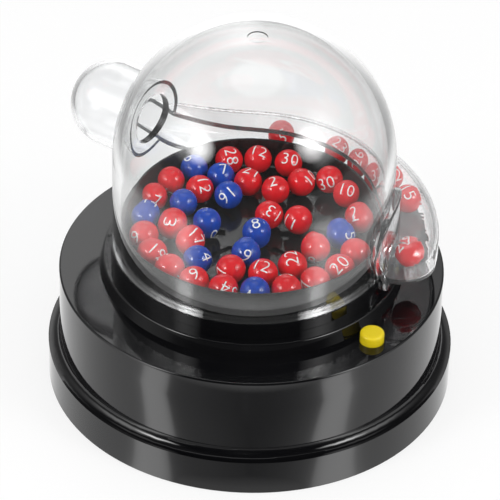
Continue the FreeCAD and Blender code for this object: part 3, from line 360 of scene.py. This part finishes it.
def makeBell():
    deselectAll()
    bpy.ops.mesh.primitive_uv_sphere_add(
        segments=bell["around"], ring_count=bell["up"], radius=bell["radius"], location=(0, 0, 0))
    dome = bpy.context.object
    dome.name = "dome_bell"
    # the upper half, its edge drawn down to the foot
    bpy.ops.object.mode_set(mode="EDIT")
    bpy.ops.mesh.select_mode(type="VERT")
    bpy.ops.mesh.select_all(action="SELECT")
    bpy.ops.mesh.bisect(plane_co=(0, 0, 0), plane_no=up, clear_inner=True)
    bpy.ops.mesh.select_all(action="DESELECT")
    bpy.ops.object.mode_set(mode="OBJECT")
    for corner in dome.data.vertices:
        corner.select = abs(corner.co.z) < bell["weld"]
    bpy.ops.object.mode_set(mode="EDIT")
    step = (bell["foot"] - bell["middle"]) / bell["bands"]
    for i in range(bell["bands"]):
        bpy.ops.mesh.extrude_region_move(TRANSFORM_OT_translate={"value": (0, 0, step)})
    bpy.ops.mesh.select_all(action="SELECT")
    bpy.ops.mesh.remove_doubles(threshold=bell["weld"])
    bpy.ops.mesh.normals_make_consistent(inside=False)
    bpy.ops.transform.translate(value=(0, 0, bell["middle"]))
    bpy.ops.object.mode_set(mode="OBJECT")
    wall = dome.modifiers.new("wall", "SOLIDIFY")
    wall.thickness = bell["wall"]
    wall.offset = -1.0
    wall.use_even_offset = True
    bpy.ops.object.modifier_apply(modifier="wall")
    # the catch hole
    deselectAll()
    bpy.ops.mesh.primitive_cylinder_add(
        vertices=hole["sides"], radius=hole["radius"], depth=2 * bell["wall"] + hole["radius"],
        location=holeWay * (bell["radius"] - bell["wall"]) + Vector((0, 0, hole["level"])),
        rotation=holeWay.to_track_quat("Z", "Y").to_euler())
    cutAway(dome, bpy.context.object, "catch hole")
    # the moulding gate's mark on top
    deselectAll()
    bpy.ops.mesh.primitive_cone_add(
        vertices=bell["gateSides"], radius1=bell["gate"], radius2=bell["gate"] + bell["gateSlope"],
        depth=2 * bell["gateDepth"], location=(0, 0, bell["middle"] + bell["radius"]))
    cutAway(dome, bpy.context.object, "gate")
    pick(dome)
    bpy.ops.object.shade_smooth_by_angle(angle=deg(shading["angle"]))
    coatWith(dome, made["dome clear plastic"])
    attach(dome, "dome")
    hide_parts("dome_shell")


makeBell()
print("dome turned")

# lengths in m: thin narrows the font's strokes, and mesh is the grid that lets a digit bend
digitForm = {
    "size": 0.0056, "pitch": 0.0030, "thin": 0.00005, "curve": 3, "weld": 0.000005,
    "mesh": 0.00055, "film": 0.00003, "lift": 0.000008, "backTurn": 70,
}
# corners this near to a ball's place, seen from above, are its own
ball = {"radius": 0.00425, "near": 0.0034}
# sideways, upwards and towards the viewer, as seen from the front
sideways = Vector((0.99966, 0.01624, 0.02042))
upwards = Vector((-0.02608, 0.59990, 0.79965))
towards = Vector((0.00074, -0.79991, 0.60012))
# ball's place in mm, then number, how far off its middle to the side and up, and turn
ballNumbers = {
    "red_balls": [
        (-7.72, 30.97, "28", 0.17, 0.28, -78), (-25.15, 19.65, "6", -0.2, -0.9, 30),
        (-29.99, 10.92, "7", 0.20, -0.38, -24), (-31.22, -6.64, "9", -0.50, -0.22, 30),
        (-28.18, -14.98, "19", 0.36, 0.05, -42), (-22.96, -22.17, "31", 0.5, -0.84, 20),
        (-15.96, -27.64, "9", 0.06, 0.46, 28), (-7.72, -30.97, "34", 0.46, -0.06, 148),
        (9.86, -30.35, "24", -0.1, -0.95, 10), (17.85, -26.46, "7", -0.62, -0.26, 96),
        (24.8, -20.08, "20", -0.04, 0.24, 46), (29.38, -12.47, "5", 0.3, -0.92, -30),
        (31.68, 3.89, "2", -0.45, 0.22, 6), (28.18, 14.98, "10", -0.08, 0.26, -16),
        (22.96, 22.17, "30", -0.27, -0.36, 22), (10.39, 30.18, "30", 0.10, 0.25, -11),
        (1.11, 31.9, "12", 0.04, 0.60, -16), (-1.74, 19.92, "21", 0.28, 0.76, -20),
        (-16.19, 15.63, "12", 0.34, 0.34, -74), (-23.47, -1.23, "3", -0.22, 0.10, -98),
        (-17.82, -9.08, "17", 0.46, 0.34, -44), (-5.82, -21.73, "7", -0.64, -0.16, 92),
        (3.27, -23.27, "12", -0.16, 0.55, -24), (11.59, -19.29, "22", -0.06, 0.62, 100),
        (18.19, -10.5, "8", -0.3, -0.9, 0), (13.4, 1.65, "11", -0.70, -0.22, -22),
        (4.79, 3.61, "13", 0.40, 0.16, 148), (14.34, 20.48, "10", 0.74, 0.30, 60),
        (6.56, 16.23, "2", -0.20, 0.60, 8),
    ],
    "blue_balls": [
        (-18.31, 26.14, "6", -0.5, 0.72, 40), (-31.84, 2.23, "14", 0.3, 0.90, -10),
        (1.11, -31.9, "4", -0.46, -0.36, 4), (-9.97, 22.38, "7", 0.24, 0.52, 12),
        (-7.5, 12.99, "16", -0.10, 0.03, 222), (-20.86, 8.43, "3", -0.3, -0.72, 70),
        (-13.48, -0.71, "10", 0.2, -0.94, 0), (-15.42, -17.74, "4", 0.64, 0.20, -62),
        (-1.71, -13.9, "9", 0.02, -0.24, -26), (1.21, -4.85, "8", -0.06, 0.60, 14),
        (25.68, -4.07, "5", 0.60, -0.05, -80),
    ],
    "drawn_balls": [
        (8.4, 47.62, "5", 0.1, -0.2, 20), (26.69, 40.32, "23", 0.2, 0.3, -40),
        (34.19, 34.19, "26", -0.1, 0.2, 70), (40.32, 26.69, "32", 0.3, 0.0, 10),
        (45.63, 15.98, "15", -0.1, 0.5, -60), (45.74, -8.89, "29", -0.55, 0.62, 24),
    ],
}


def addDigit(sign):
    deselectAll()
    bpy.ops.object.text_add(location=(0, 0, 0))
    digit = bpy.context.object
    digit.data.body = sign
    digit.data.size = digitForm["size"]
    digit.data.offset = -digitForm["thin"]
    digit.data.align_x = "CENTER"
    digit.data.align_y = "CENTER"
    digit.data.resolution_u = digitForm["curve"]
    bpy.ops.object.convert(target="MESH")
    editAll()
    bpy.ops.mesh.remove_doubles(threshold=digitForm["weld"])
    cuts = int(0.5 * digitForm["size"] / digitForm["mesh"])
    for i in range(-cuts, cuts + 1):
        for side in ((1, 0, 0), (0, 1, 0)):
            at = [i * digitForm["mesh"] * way for way in side]
            bpy.ops.mesh.select_all(action="SELECT")
            bpy.ops.mesh.bisect(plane_co=at, plane_no=side)
    bpy.ops.object.mode_set(mode="OBJECT")
    return digit


digits = {sign: addDigit(sign) for sign in "0123456789"}


# wraps a flat digit round a ball, centred where the number faces
def wrapDigit(digit, centre, facing, along, across, shift):
    radius = ball["radius"] + digitForm["lift"]
    for corner in digit.data.vertices:
        u, v = corner.co.x + shift, corner.co.y
        arc = math.hypot(u, v) / ball["radius"]
        way = along * u + across * v
        if way.length > 0:
            way.normalize()
        corner.co = centre + (facing * math.cos(arc) + way * math.sin(arc)) * radius


# the ball's own middle, over the lowest corner of its solid
def ballCentre(node, x, y):
    spots = [(v.co.x, v.co.y, v.co.z) for v in nodes[node].data.vertices]
    near = [p for p in spots if math.hypot(p[0] - x, p[1] - y) < ball["near"]]
    low = min(p[2] for p in near)
    return Vector((x, y, low + ball["radius"]))


def printNumber(node, row, opposite):
    x, y, number, aside, rise, turn = row
    centre = ballCentre(node, x / mmPerMetre, y / mmPerMetre)
    depth = math.sqrt(max(0.0, 1 - aside * aside - rise * rise))
    facing = (sideways * aside + upwards * rise + towards * depth).normalized()
    if opposite:
        facing = -facing
        turn = turn + digitForm["backTurn"]
    along = (sideways - facing * sideways.dot(facing)).normalized()
    across = facing.cross(along)
    tilt = deg(turn)
    textAlong = along * math.cos(tilt) + across * math.sin(tilt)
    textAcross = across * math.cos(tilt) - along * math.sin(tilt)
    printed = []
    for i, sign in enumerate(number):
        pick(digits[sign])
        bpy.ops.object.duplicate()
        copy = bpy.context.object
        shift = (i - 0.5 * (len(number) - 1)) * digitForm["pitch"]
        wrapDigit(copy, centre, facing, textAlong, textAcross, shift)
        printed.append(copy)
    return printed


# every ball carries its number twice, on opposite sides
def printBalls(node, body):
    printed = []
    for row in ballNumbers[node]:
        printed += printNumber(node, row, False)
        printed += printNumber(node, row, True)
    deselectAll()
    for copy in printed:
        copy.select_set(True)
    bpy.context.view_layer.objects.active = printed[0]
    bpy.ops.object.join()
    numbers = bpy.context.object
    numbers.name = node + "_numbers"
    film = numbers.modifiers.new("film", "SOLIDIFY")
    film.thickness = digitForm["film"]
    film.offset = 1.0
    bpy.ops.object.modifier_apply(modifier="film")
    coatWith(numbers, made["white number ink"])
    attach(numbers, body)
    print(node, "numbers:", len(numbers.data.polygons), "faces")


for node in ballNumbers:
    printBalls(node, skins[node][0])
deselectAll()
for digit in digits.values():
    digit.select_set(True)
bpy.ops.object.delete()

# place in m, turns in degrees, focal length and picture width in pixels, sensor in mm
camera = {
    "place": (0.0, -0.79962, 0.64188), "tilt": 53.121, "turn": 0.0422, "roll": 1.494,
    "focal": 3409.72, "picture": 500.0, "sensor": 36.0, "nearest": 0.01,
}
bpy.ops.object.camera_add(location=camera["place"])
eye = bpy.context.object
eye.data.lens = camera["focal"] * camera["sensor"] / camera["picture"]
eye.data.sensor_width = camera["sensor"]
eye.data.clip_start = camera["nearest"]
turned = Matrix.Rotation(deg(camera["turn"]), 4, "Z") @ Matrix.Rotation(deg(camera["tilt"]), 4, "X")
turned = turned @ Matrix.Rotation(deg(camera["roll"]), 4, "Z")
eye.rotation_euler = turned.to_euler()
bpy.context.scene.camera = eye

# where each lamp stands round its aim, and the share of its face over which it fades;
# degrees, m and W
lamps = {
    "keyLeft": {
        "azimuth": -51.6, "height": 28.1, "away": 0.80,
        "shape": "DISK", "size": 0.36, "power": 4.6, "soft": 0.9},
    "keyRight": {
        "azimuth": 55.8, "height": 32.0, "away": 0.80,
        "shape": "DISK", "size": 0.40, "power": 4.6, "soft": 0.9},
    "overhead": {
        "azimuth": 180.0, "height": 80.0, "away": 0.85,
        "shape": "SQUARE", "size": 0.60, "power": 1.0, "soft": 0.2},
}
lampAim = Vector((0, 0, 0.075))
# a lamp's face runs from 0 to 1 both ways
faceMiddle = (0.5, 0.5, 0.0)
faceEdge = 0.5
for name, lamp in lamps.items():
    a, e = deg(lamp["azimuth"]), deg(lamp["height"])
    away = Vector((math.sin(a) * math.cos(e), -math.cos(a) * math.cos(e), math.sin(e)))
    bpy.ops.object.light_add(type="AREA", location=lampAim + away * lamp["away"])
    light = bpy.context.object
    light.name = name
    light.data.shape = lamp["shape"]
    light.data.size = lamp["size"]
    light.data.energy = lamp["power"]
    light.rotation_euler = away.to_track_quat("Z", "Y").to_euler()
    light.visible_camera = False
    light.data.use_nodes = True
    face = light.data.node_tree
    shine = face.nodes["Emission"]
    spot = addNode(face, "ShaderNodeNewGeometry")
    middle = addNode(face, "ShaderNodeVectorMath", operation="DISTANCE")
    middle.inputs[1].default_value = faceMiddle
    face.links.new(spot.outputs["Parametric"], middle.inputs[0])
    fade = rangeOf(face, middle.outputs["Value"], 1.0, 0.0, faceEdge * (1 - lamp["soft"]), faceEdge)
    face.links.new(fade, shine.inputs["Strength"])


def mathOf(tree, operation, a, b=None):
    node = addNode(tree, "ShaderNodeMath", operation=operation)
    for i, value in enumerate((a, b)):
        if value is None:
            continue
        if isinstance(value, (int, float)):
            node.inputs[i].default_value = value
        else:
            tree.links.new(value, node.inputs[i])
    return node.outputs[0]


# 0 straight in front of the middle, pi straight behind it, less than 0 to the left
def aroundOf(tree, split):
    south = mathOf(tree, "SUBTRACT", 0.0, split.outputs["Y"])
    return mathOf(tree, "ARCTAN2", split.outputs["X"], south)


# a level that changes with the way round, 0 in front and 1 behind
def levelOf(tree, turn, stops):
    share = mathOf(tree, "DIVIDE", mathOf(tree, "ABSOLUTE", turn), math.pi)
    tallest = max(value for place, value in stops)
    curve = addNode(tree, "ShaderNodeFloatCurve")
    points = curve.mapping.curves[0].points
    points[0].location = (stops[0][0], stops[0][1] / tallest)
    points[-1].location = (stops[-1][0], stops[-1][1] / tallest)
    for place, value in stops[1:-1]:
        points.new(place, value / tallest)
    curve.mapping.update()
    tree.links.new(share, curve.inputs["Value"])
    return mathOf(tree, "MULTIPLY", curve.outputs["Value"], tallest)


def between(tree, value, low, high, edge):
    rising = rangeOf(tree, value, 0.0, 1.0, low - edge, low + edge)
    falling = rangeOf(tree, value, 1.0, 0.0, high - edge, high + edge)
    return mathOf(tree, "MULTIPLY", rising, falling)


def mixOf(tree, share, first, second):
    kept = mathOf(tree, "MULTIPLY", first, mathOf(tree, "SUBTRACT", 1.0, share))
    return mathOf(tree, "ADD", kept, mathOf(tree, "MULTIPLY", second, share))


# which of three levels a ray meets: straight on or through clear parts, off something shiny, off
# something matt
def sortRays(tree, straight, shiny, matt):
    path = addNode(tree, "ShaderNodeLightPath")
    offMatt = mathOf(tree, "MINIMUM", path.outputs["Diffuse Depth"], 1.0)
    offShiny = mathOf(tree, "MINIMUM", path.outputs["Glossy Depth"], 1.0)
    first = addNode(tree, "ShaderNodeMixShader")
    second = addNode(tree, "ShaderNodeMixShader")
    tree.links.new(offShiny, first.inputs[0])
    tree.links.new(straight.outputs[0], first.inputs[1])
    tree.links.new(shiny.outputs[0], first.inputs[2])
    tree.links.new(offMatt, second.inputs[0])
    tree.links.new(first.outputs[0], second.inputs[1])
    tree.links.new(matt.outputs[0], second.inputs[2])
    return second.outputs[0]


# painted light: reflections of the world and floor seen from inside a clear part are lifted to at
# least this level, a painted veil in the clear plastic
paintedVeilInside = 0.25


def liftByPaintedVeil(tree, level):
    path = addNode(tree, "ShaderNodeLightPath")
    inside = mathOf(tree, "MINIMUM", path.outputs["Transmission Depth"], 1.0)
    return mathOf(tree, "MAXIMUM", level, mathOf(tree, "MULTIPLY", inside, paintedVeilInside))


# shares run from 0 straight in front to 1 straight behind, and heights from 0 to 1 overhead
room = {
    "matt": 0.58, "straight": 1.0,
    # what shiny surfaces see low in the room, and of the tall soft lamps at its sides
    "low": [
        (0.0, 0.08), (0.20, 0.10), (0.27, 0.35), (0.36, 0.50), (0.50, 0.40), (0.75, 0.40),
        (0.90, 1.0), (0.97, 1.4), (1.0, 1.4)],
    "lamps": [
        (0.0, 0.0), (0.27, 0.0), (0.36, 2.6), (0.46, 2.0), (0.55, 0.4), (0.66, 0.0), (1.0, 0.0)],
    "lampLow": 0.28, "lampHigh": 0.72, "lampEdge": 0.10,
    # the left is brighter
    "lean": 0.30, "leanEdge": 0.05,
    # less is left near the floor and high up, with a soft panel overhead
    "lowStart": 0.20, "lowEnd": 0.50, "lowLeft": 0.45,
    "highStart": 0.63, "highEnd": 0.78, "highLeft": 0.15, "lowest": 0.1,
    "panelWide": 0.52, "panelFront": 0.10, "panelBack": 0.45, "panelGlow": 0.65, "panelEdge": 0.03,
}
world = bpy.data.worlds.new("studio")
bpy.context.scene.world = world
world.use_nodes = True
sky = world.node_tree
sky.nodes.clear()
skyOut = sky.nodes.new("ShaderNodeOutputWorld")
skyMatt = addNode(sky, "ShaderNodeBackground", Color=white, Strength=room["matt"])
skyStraight = addNode(sky, "ShaderNodeBackground", Color=white, Strength=room["straight"])
skyShiny = addNode(sky, "ShaderNodeBackground", Color=white)
where = addNode(sky, "ShaderNodeTexCoord")
split = addNode(sky, "ShaderNodeSeparateXYZ")
sky.links.new(where.outputs["Generated"], split.inputs["Vector"])
skyX, skyY, skyZ = (split.outputs[axis] for axis in "XYZ")
turn = aroundOf(sky, split)
# the low part, leaning to the left and dimmed at its foot and top
lean = rangeOf(sky, skyX, 1 + room["lean"], 1 - room["lean"], -room["leanEdge"], room["leanEdge"])
skyGlow = mathOf(sky, "MULTIPLY", levelOf(sky, turn, room["low"]), lean)
height = rangeOf(sky, skyZ, 1.0, room["highLeft"], room["highStart"], room["highEnd"])
skyGlow = mathOf(sky, "MULTIPLY", skyGlow, height)
lowDown = rangeOf(sky, skyZ, room["lowLeft"], 1.0, room["lowStart"], room["lowEnd"])
skyGlow = mathOf(sky, "MULTIPLY", skyGlow, lowDown)
# the side lamps
lampGlow = between(sky, skyZ, room["lampLow"], room["lampHigh"], room["lampEdge"])
lampGlow = mathOf(sky, "MULTIPLY", lampGlow, levelOf(sky, turn, room["lamps"]))
skyGlow = mathOf(sky, "ADD", skyGlow, lampGlow)
# the panel, flat overhead
above = mathOf(sky, "MAXIMUM", skyZ, room["lowest"])
across = mathOf(sky, "DIVIDE", mathOf(sky, "ABSOLUTE", skyX), above)
along = mathOf(sky, "DIVIDE", skyY, above)
panelIn, panelOut = room["panelWide"] - room["panelEdge"], room["panelWide"] + room["panelEdge"]
wide = rangeOf(sky, across, 1.0, 0.0, panelIn, panelOut)
deep = between(sky, along, room["panelFront"], room["panelBack"], room["panelEdge"])
panel = mathOf(sky, "MULTIPLY", mathOf(sky, "MULTIPLY", wide, deep), room["panelGlow"])
# the painted veil lifts the reflections seen inside clear parts
sky.links.new(liftByPaintedVeil(sky, mathOf(sky, "ADD", skyGlow, panel)), skyShiny.inputs["Strength"])
sky.links.new(sortRays(sky, skyStraight, skyShiny, skyMatt), skyOut.inputs["Surface"])

# the floor, just clear of the base: distances in m, turns in degrees, levels as in the room
ground = {
    "radius": 2.5, "sides": 96, "below": 0.0002,
    "paper": (0.86, 0.86, 0.86, 1), "glow": 1.10, "paperShare": 0.30,
    # close in, an even painted level of light that fades out past the edge of the foot
    "footEnd": 0.062, "footGone": 0.071, "foot": 0.80,
    # two painted bands of light, which bend outwards as they leave the drum; the lower levels in
    # front of them are painted shade from the drum
    "bandIn": 0.058, "bandOut": 0.090, "turnIn": 10.5, "turnOut": -3.6,
    "left": [
        (0.0, 0.24), (0.08, 0.40), (0.14, 0.54), (0.165, 0.9), (0.195, 2.8), (0.215, 2.8),
        (0.245, 1.3), (0.28, 0.88), (0.40, 0.92), (0.50, 1.06), (1.0, 1.0)],
    "right": [
        (0.0, 0.24), (0.06, 0.30), (0.12, 0.56), (0.15, 1.1), (0.185, 2.9), (0.215, 2.7),
        (0.24, 1.3), (0.28, 0.88), (0.36, 0.86), (0.48, 1.03), (1.0, 1.0)],
    # then a painted bright ring of light
    "ringStart": 0.0985, "ringIn": 0.1015, "ringOut": 0.108, "ringEnd": 0.118,
    "ring": [
        (0.0, 1.1), (0.19, 1.0), (0.225, 1.5), (0.25, 2.8), (0.275, 2.6), (0.31, 1.2), (0.36, 0.9),
        (1.0, 1.0)],
    # then the far floor, which ends in the room's own level
    "farOut": 0.145, "farEnd": 0.200,
    "far": [
        (0.0, 0.10), (0.18, 0.18), (0.22, 0.7), (0.25, 1.6), (0.28, 2.3), (0.31, 2.0), (0.36, 1.3),
        (0.5, 1.1), (1.0, 0.90)],
}
bpy.ops.mesh.primitive_circle_add(
    vertices=ground["sides"], radius=ground["radius"], fill_type="NGON",
    location=(0, 0, -ground["below"]))
floor = bpy.context.object
floor.name = "studioFloor"
floorMat, floorTree, floorOut = newMaterial("studio floor")
paper = addNode(floorTree, "ShaderNodeBsdfDiffuse", Color=ground["paper"])
glow = addNode(floorTree, "ShaderNodeEmission", Color=white, Strength=ground["glow"])
lit = addNode(floorTree, "ShaderNodeMixShader", Fac=ground["paperShare"])
floorTree.links.new(glow.outputs[0], lit.inputs[1])
floorTree.links.new(paper.outputs[0], lit.inputs[2])
# painted light and shade: shiny surfaces see the floor as a painted map of levels, with bright
# bands and a ring standing in for pools of lamp light and darker levels in front for the drum's
# shade; matt surfaces see the plain paper
paintedFloorReflection = addNode(floorTree, "ShaderNodeEmission", Color=white)
floorSpot = addNode(floorTree, "ShaderNodeTexCoord")
floorSplit = addNode(floorTree, "ShaderNodeSeparateXYZ")
floorTree.links.new(floorSpot.outputs["Object"], floorSplit.inputs["Vector"])
lengthOf = addNode(floorTree, "ShaderNodeVectorMath", operation="LENGTH")
floorTree.links.new(floorSpot.outputs["Object"], lengthOf.inputs[0])
away = lengthOf.outputs["Value"]
floorTurn = aroundOf(floorTree, floorSplit)
turnIn, turnOut = deg(ground["turnIn"]), deg(ground["turnOut"])
bend = rangeOf(floorTree, away, turnIn, turnOut, ground["bandIn"], ground["bandOut"])
bent = mathOf(floorTree, "ADD", mathOf(floorTree, "ABSOLUTE", floorTurn), bend)
isRight = mathOf(floorTree, "GREATER_THAN", floorSplit.outputs["X"], 0.0)
leftPaintedLight = levelOf(floorTree, bent, ground["left"])
rightPaintedLight = levelOf(floorTree, bent, ground["right"])
nearPaintedLightShade = mixOf(floorTree, isRight, leftPaintedLight, rightPaintedLight)
footPaintedLight = rangeOf(floorTree, away, ground["foot"], 0.0, ground["footEnd"], ground["footGone"])
level = mathOf(floorTree, "MAXIMUM", nearPaintedLightShade, footPaintedLight)
# each outer part takes over from the one inside it between its two distances
for start, end, stops in (
        ("ringStart", "ringIn", ground["ring"]),
        ("ringOut", "ringEnd", ground["far"]),
        ("farOut", "farEnd", room["low"])):
    past = rangeOf(floorTree, away, 0.0, 1.0, ground[start], ground[end])
    level = mixOf(floorTree, past, level, levelOf(floorTree, floorTurn, stops))
floorTree.links.new(liftByPaintedVeil(floorTree, level), paintedFloorReflection.inputs["Strength"])
floorTree.links.new(sortRays(floorTree, lit, paintedFloorReflection, paper), floorOut.inputs["Surface"])
floor.data.materials.append(floorMat)
bpy.context.scene.view_settings.view_transform = "Standard"
print("camera, lamps and floor made")
